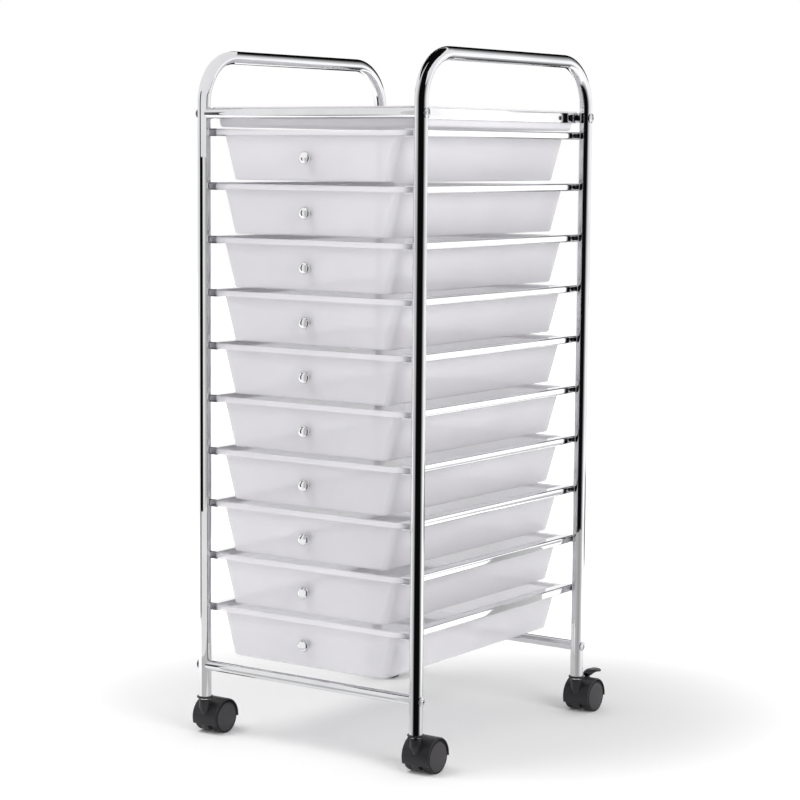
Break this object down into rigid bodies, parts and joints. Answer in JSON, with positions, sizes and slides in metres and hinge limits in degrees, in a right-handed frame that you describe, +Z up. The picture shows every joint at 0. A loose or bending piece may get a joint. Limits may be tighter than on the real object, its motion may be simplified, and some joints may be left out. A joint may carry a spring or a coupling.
{
  "type": "rolling drawer cart",
  "caption": "Tall rolling storage cart: chrome tube frame, translucent plastic drawers on side rails, a shallow top tray and swivel casters.",
  "frame": {"origin": "on the floor under the middle of the cart's overall box, 20.7 mm behind the middle of its side frames", "axes": "+Z up, -Y the side that the drawers open to, +X the cart's right as seen from behind the front, so right in a front view"},
  "size_m": [0.3918, 0.4814, 0.9308],
  "materials": {
    "frame_chrome": "polished chrome plate on steel tube",
    "rail_chrome": "chrome plate on bent steel sheet, a little duller than the tube",
    "screw_chrome": "bright plated steel",
    "knob_chrome": "polished chrome plate",
    "pin_steel": "plain zinc plated steel",
    "drawer_plastic": "frosted translucent polypropylene",
    "tray_plastic": "frosted translucent polypropylene",
    "caster_nylon": "moulded black nylon, fine texture",
    "wheel_nylon": "moulded dark grey nylon",
    "socket_nylon": "moulded black nylon"
  },
  "bodies": {
    "cart_frame": {"left_side_frame": "frame_chrome", "right_side_frame": "frame_chrome", "left_rails": "rail_chrome", "right_rails": "rail_chrome", "front_top_bar": "frame_chrome", "rear_top_bar": "frame_chrome", "front_bottom_bar": "frame_chrome", "rear_bottom_bar": "frame_chrome", "top_tray": "tray_plastic", "frame_screws": "screw_chrome", "caster_sockets": "socket_nylon", "caster_stems": "pin_steel"},
    "drawer_01_body": {"drawer_01": "drawer_plastic", "knob_01": "knob_chrome", "knob_screw_01": "pin_steel"},
    "drawer_02_body": {"drawer_02": "drawer_plastic", "knob_02": "knob_chrome", "knob_screw_02": "pin_steel"},
    "drawer_03_body": {"drawer_03": "drawer_plastic", "knob_03": "knob_chrome", "knob_screw_03": "pin_steel"},
    "drawer_04_body": {"drawer_04": "drawer_plastic", "knob_04": "knob_chrome", "knob_screw_04": "pin_steel"},
    "drawer_05_body": {"drawer_05": "drawer_plastic", "knob_05": "knob_chrome", "knob_screw_05": "pin_steel"},
    "drawer_06_body": {"drawer_06": "drawer_plastic", "knob_06": "knob_chrome", "knob_screw_06": "pin_steel"},
    "drawer_07_body": {"drawer_07": "drawer_plastic", "knob_07": "knob_chrome", "knob_screw_07": "pin_steel"},
    "drawer_08_body": {"drawer_08": "drawer_plastic", "knob_08": "knob_chrome", "knob_screw_08": "pin_steel"},
    "drawer_09_body": {"drawer_09": "drawer_plastic", "knob_09": "knob_chrome", "knob_screw_09": "pin_steel"},
    "drawer_10_body": {"drawer_10": "drawer_plastic", "knob_10": "knob_chrome", "knob_screw_10": "pin_steel"},
    "front_left_caster": {"front_left_caster_housing": "caster_nylon", "front_left_caster_axle": "pin_steel"},
    "front_left_left_wheel_body": {"front_left_caster_left_wheel": "wheel_nylon"},
    "front_left_right_wheel_body": {"front_left_caster_right_wheel": "wheel_nylon"},
    "front_right_caster": {"front_right_caster_housing": "caster_nylon", "front_right_caster_axle": "pin_steel"},
    "front_right_left_wheel_body": {"front_right_caster_left_wheel": "wheel_nylon"},
    "front_right_right_wheel_body": {"front_right_caster_right_wheel": "wheel_nylon"},
    "rear_left_caster": {"rear_left_caster_housing": "caster_nylon", "rear_left_caster_axle": "pin_steel"},
    "rear_left_left_wheel_body": {"rear_left_caster_left_wheel": "wheel_nylon"},
    "rear_left_right_wheel_body": {"rear_left_caster_right_wheel": "wheel_nylon"},
    "rear_left_brake": {"rear_left_brake_lever": "caster_nylon"},
    "rear_right_caster": {"rear_right_caster_housing": "caster_nylon", "rear_right_caster_axle": "pin_steel"},
    "rear_right_left_wheel_body": {"rear_right_caster_left_wheel": "wheel_nylon"},
    "rear_right_right_wheel_body": {"rear_right_caster_right_wheel": "wheel_nylon"},
    "rear_right_brake": {"rear_right_brake_lever": "caster_nylon"}
  },
  "joints": [
    {"name": "drawer_01_slide", "type": "slide", "parent": "cart_frame", "child": "drawer_01_body", "axis": [0, -1, 0], "range_m": [0, 0.26]},
    {"name": "drawer_02_slide", "type": "slide", "parent": "cart_frame", "child": "drawer_02_body", "axis": [0, -1, 0], "range_m": [0, 0.26]},
    {"name": "drawer_03_slide", "type": "slide", "parent": "cart_frame", "child": "drawer_03_body", "axis": [0, -1, 0], "range_m": [0, 0.26]},
    {"name": "drawer_04_slide", "type": "slide", "parent": "cart_frame", "child": "drawer_04_body", "axis": [0, -1, 0], "range_m": [0, 0.26]},
    {"name": "drawer_05_slide", "type": "slide", "parent": "cart_frame", "child": "drawer_05_body", "axis": [0, -1, 0], "range_m": [0, 0.26]},
    {"name": "drawer_06_slide", "type": "slide", "parent": "cart_frame", "child": "drawer_06_body", "axis": [0, -1, 0], "range_m": [0, 0.26]},
    {"name": "drawer_07_slide", "type": "slide", "parent": "cart_frame", "child": "drawer_07_body", "axis": [0, -1, 0], "range_m": [0, 0.26]},
    {"name": "drawer_08_slide", "type": "slide", "parent": "cart_frame", "child": "drawer_08_body", "axis": [0, -1, 0], "range_m": [0, 0.26]},
    {"name": "drawer_09_slide", "type": "slide", "parent": "cart_frame", "child": "drawer_09_body", "axis": [0, -1, 0], "range_m": [0, 0.26]},
    {"name": "drawer_10_slide", "type": "slide", "parent": "cart_frame", "child": "drawer_10_body", "axis": [0, -1, 0], "range_m": [0, 0.26]},
    {"name": "front_left_swivel", "type": "hinge", "parent": "cart_frame", "child": "front_left_caster", "pos_m": [-0.175, -0.22467, 0.045], "axis": [0, 0, 1], "continuous": true},
    {"name": "front_left_left_wheel_spin", "type": "hinge", "parent": "front_left_caster", "child": "front_left_left_wheel_body", "pos_m": [-0.175, -0.20217, 0.022], "axis": [1, 0, 0], "continuous": true},
    {"name": "front_left_right_wheel_spin", "type": "hinge", "parent": "front_left_caster", "child": "front_left_right_wheel_body", "pos_m": [-0.175, -0.20217, 0.022], "axis": [1, 0, 0], "continuous": true},
    {"name": "front_right_swivel", "type": "hinge", "parent": "cart_frame", "child": "front_right_caster", "pos_m": [0.175, -0.22467, 0.045], "axis": [0, 0, 1], "continuous": true},
    {"name": "front_right_left_wheel_spin", "type": "hinge", "parent": "front_right_caster", "child": "front_right_left_wheel_body", "pos_m": [0.175, -0.20217, 0.022], "axis": [1, 0, 0], "continuous": true},
    {"name": "front_right_right_wheel_spin", "type": "hinge", "parent": "front_right_caster", "child": "front_right_right_wheel_body", "pos_m": [0.175, -0.20217, 0.022], "axis": [1, 0, 0], "continuous": true},
    {"name": "rear_left_swivel", "type": "hinge", "parent": "cart_frame", "child": "rear_left_caster", "pos_m": [-0.175, 0.18333, 0.045], "axis": [0, 0, 1], "continuous": true},
    {"name": "rear_left_left_wheel_spin", "type": "hinge", "parent": "rear_left_caster", "child": "rear_left_left_wheel_body", "pos_m": [-0.175, 0.20583, 0.022], "axis": [1, 0, 0], "continuous": true},
    {"name": "rear_left_right_wheel_spin", "type": "hinge", "parent": "rear_left_caster", "child": "rear_left_right_wheel_body", "pos_m": [-0.175, 0.20583, 0.022], "axis": [1, 0, 0], "continuous": true},
    {"name": "rear_left_brake_press", "type": "hinge", "parent": "rear_left_caster", "child": "rear_left_brake", "pos_m": [-0.175, 0.21483, 0.0365], "axis": [1, 0, 0], "range_deg": [-12, 0]},
    {"name": "rear_right_swivel", "type": "hinge", "parent": "cart_frame", "child": "rear_right_caster", "pos_m": [0.175, 0.18333, 0.045], "axis": [0, 0, 1], "continuous": true},
    {"name": "rear_right_left_wheel_spin", "type": "hinge", "parent": "rear_right_caster", "child": "rear_right_left_wheel_body", "pos_m": [0.175, 0.20583, 0.022], "axis": [1, 0, 0], "continuous": true},
    {"name": "rear_right_right_wheel_spin", "type": "hinge", "parent": "rear_right_caster", "child": "rear_right_right_wheel_body", "pos_m": [0.175, 0.20583, 0.022], "axis": [1, 0, 0], "continuous": true},
    {"name": "rear_right_brake_press", "type": "hinge", "parent": "rear_right_caster", "child": "rear_right_brake", "pos_m": [0.175, 0.21483, 0.0365], "axis": [1, 0, 0], "range_deg": [-12, 0]}
  ]
}
